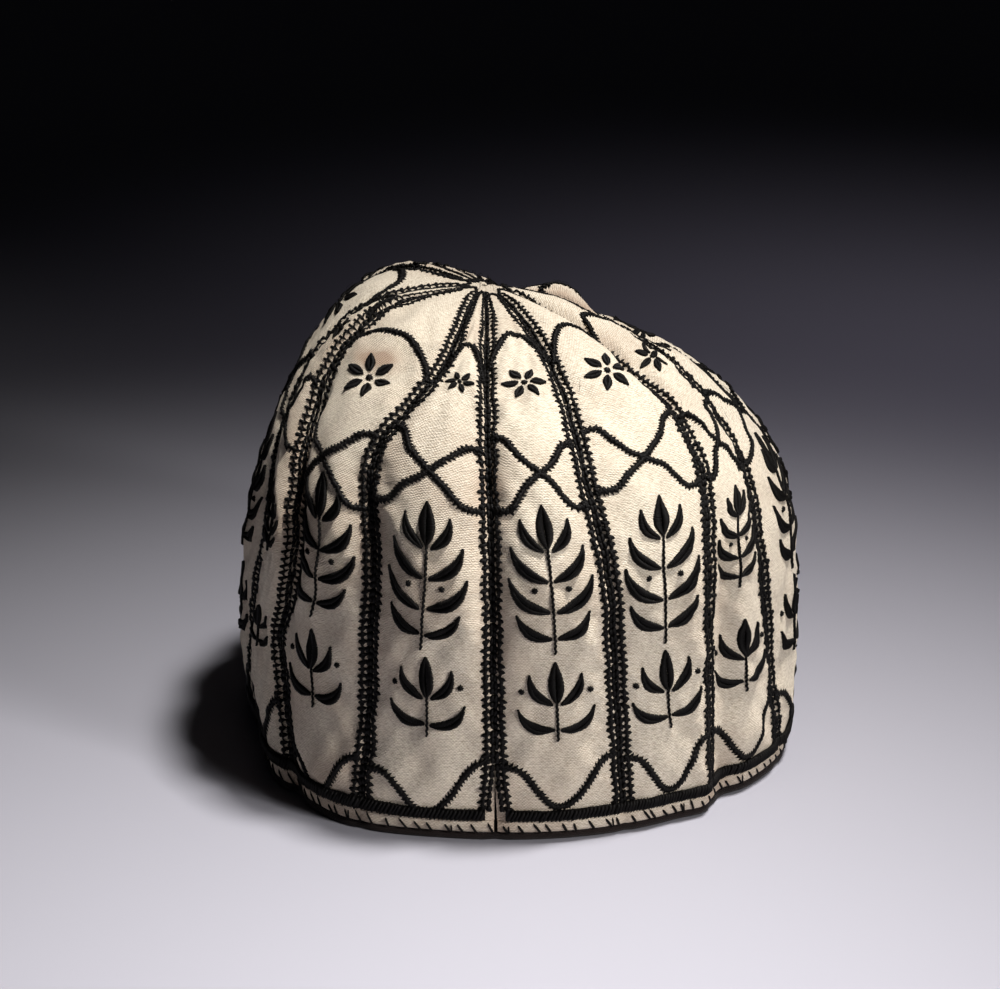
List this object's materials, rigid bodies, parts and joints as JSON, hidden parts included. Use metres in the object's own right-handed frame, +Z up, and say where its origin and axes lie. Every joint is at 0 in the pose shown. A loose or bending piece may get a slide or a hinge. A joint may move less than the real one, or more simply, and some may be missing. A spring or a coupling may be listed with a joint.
{
  "type": "dervish cap",
  "caption": "Slumped dome-shaped cap of tapering cloth gores over a dark lining, with a stitched hem and a black rim braid.",
  "frame": {"origin": "on the surface that the cap stands on, under the middle of the cap's outline", "axes": "+Z up from the rim to the crown, -Y out of the open front seam, +X to the side on which the crown has slumped"},
  "size_m": [0.182, 0.1868, 0.1439],
  "materials": {
    "cream_cloth": "plain weave wool and cotton cloth, matt",
    "brown_lining": "dark brown cotton, matt",
    "black_wool": "black twisted embroidery yarn, low sheen"
  },
  "bodies": {
    "root": {"lining": "brown_lining", "gore_01": "cream_cloth", "gore_02": "cream_cloth", "gore_03": "cream_cloth", "gore_04": "cream_cloth", "gore_05": "cream_cloth", "gore_06": "cream_cloth", "gore_07": "cream_cloth", "gore_08": "cream_cloth", "gore_09": "cream_cloth", "gore_10": "cream_cloth", "gore_11": "cream_cloth", "gore_12": "cream_cloth", "gore_13": "cream_cloth", "gore_14": "cream_cloth", "gore_15": "cream_cloth", "gore_16": "cream_cloth", "hem_binding": "cream_cloth", "rim_braid": "black_wool"}
  },
  "joints": []
}
